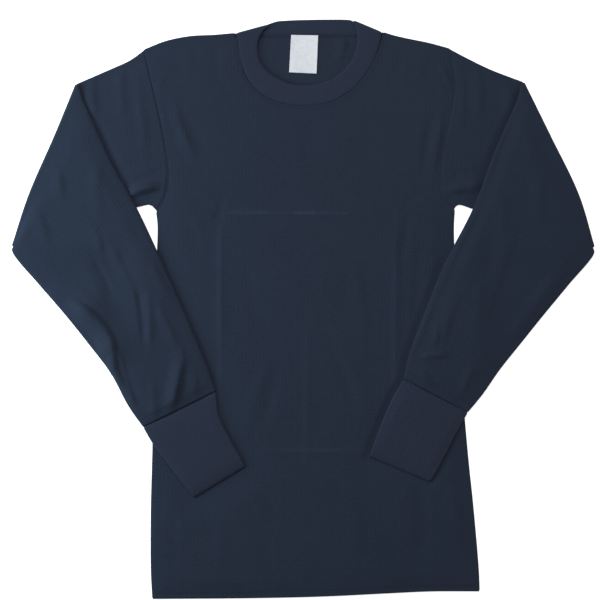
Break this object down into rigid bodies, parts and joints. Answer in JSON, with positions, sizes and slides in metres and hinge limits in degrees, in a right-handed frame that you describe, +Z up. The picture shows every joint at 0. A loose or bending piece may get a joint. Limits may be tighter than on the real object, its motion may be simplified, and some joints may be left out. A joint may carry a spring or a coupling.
{
  "type": "thermal top",
  "caption": "Long-sleeved waffle-knit thermal top with a ribbed crew neck and long rib cuffs, laid flat with both sleeves folded over the front.",
  "frame": {"origin": "middle of the outline of the laid-out top, on the surface that its back panel lies on", "axes": "+Z up from the surface through the layers of cloth, +Y toward the collar, +X to the right seen from above"},
  "size_m": [0.7274, 0.725, 0.0102],
  "materials": {
    "waffle_knit": "matte navy waffle knit",
    "rib_knit": "matte navy fine rib",
    "woven_label": "smooth white woven tape"
  },
  "bodies": {
    "root": {"front_panel": "waffle_knit", "back_panel": "waffle_knit", "sleeve_left": "waffle_knit", "sleeve_right": "waffle_knit", "cuff_left": "rib_knit", "cuff_right": "rib_knit", "collar": "rib_knit", "label": "woven_label"}
  },
  "joints": []
}
